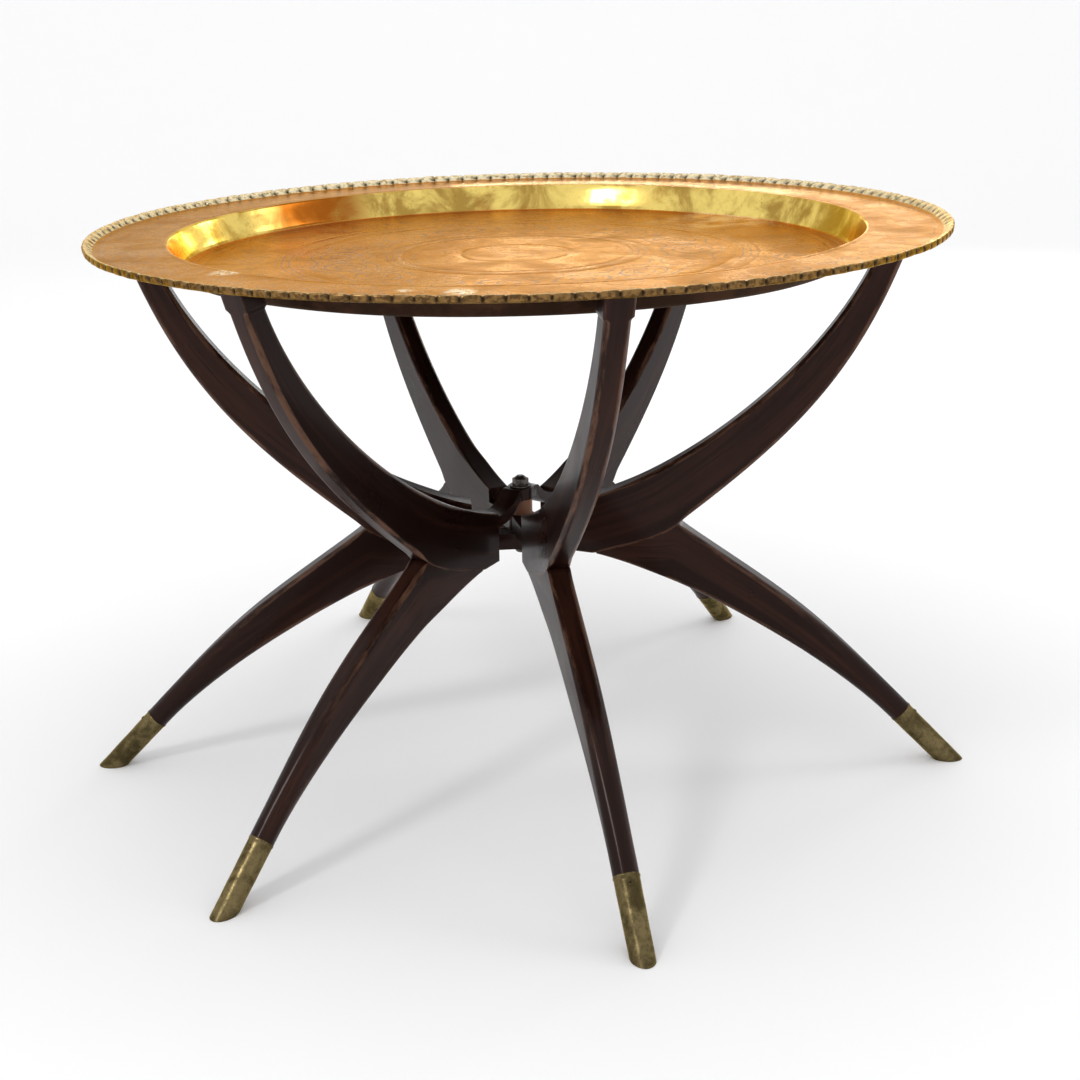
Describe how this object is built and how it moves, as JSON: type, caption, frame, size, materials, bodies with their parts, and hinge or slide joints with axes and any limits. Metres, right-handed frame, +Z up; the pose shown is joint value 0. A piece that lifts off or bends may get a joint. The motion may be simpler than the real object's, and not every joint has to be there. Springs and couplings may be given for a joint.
{
  "type": "folding tray table",
  "caption": "Round brass tray with a crimped edge, lying loose on a folding wooden stand of curved, crossed legs that turn on a central bolt and end in brass ferrules.",
  "frame": {"origin": "middle of the table's outline on the floor; the pivot bolt stands 13 mm behind it", "axes": "+Z up; +X to the right and -Y towards a person in front of the table, with the lower frame's legs nearly along X"},
  "size_m": [0.8125, 0.7659, 0.498],
  "materials": {
    "tray_brass": "polished and hand-chased, with a warm patina",
    "dark_wood": "dark brown stained hardwood under a satin varnish",
    "ferrule_brass": "aged brass with greenish brown stains and scratches",
    "nail_brass": "aged brass",
    "spacer_wood": "bare light brown wood",
    "pivot_steel": "dull darkened steel"
  },
  "bodies": {
    "lower_frame": {"lower_crossbar": "dark_wood", "arm_1": "dark_wood", "arm_4": "dark_wood", "leg_1": "dark_wood", "leg_4": "dark_wood", "ferrule_1": "ferrule_brass", "ferrule_4": "ferrule_brass", "lower_frame_dowels": "spacer_wood", "lower_frame_nails": "nail_brass", "pivot_bolt": "pivot_steel", "pivot_washers": "pivot_steel", "pivot_cap_nut": "pivot_steel"},
    "upper_frame": {"arched_crossbar": "dark_wood", "pivot_spacer": "spacer_wood", "arm_2": "dark_wood", "arm_5": "dark_wood", "leg_2": "dark_wood", "leg_5": "dark_wood", "ferrule_2": "ferrule_brass", "ferrule_5": "ferrule_brass", "upper_frame_dowels": "spacer_wood", "upper_frame_nails": "nail_brass"},
    "middle_frame": {"middle_crossbar": "dark_wood", "arm_3": "dark_wood", "arm_6": "dark_wood", "leg_3": "dark_wood", "leg_6": "dark_wood", "ferrule_3": "ferrule_brass", "ferrule_6": "ferrule_brass", "middle_frame_dowels": "spacer_wood", "middle_frame_nails": "nail_brass"},
    "tray": {"tray_rim": "tray_brass", "tray_wall": "tray_brass", "tray_bottom": "tray_brass"}
  },
  "joints": [
    {"name": "upper_frame_swing", "type": "hinge", "parent": "lower_frame", "child": "upper_frame", "pos_m": [0, 0.01285, 0.235], "axis": [0, 0, 1], "range_deg": [-20, 18]},
    {"name": "middle_frame_swing", "type": "hinge", "parent": "upper_frame", "child": "middle_frame", "pos_m": [0, 0.01285, 0.235], "axis": [0, 0, 1], "range_deg": [-23, 18]},
    {"name": "tray_lift", "type": "slide", "parent": "lower_frame", "child": "tray", "axis": [0, 0, 1], "range_m": [0, 0.12]}
  ]
}
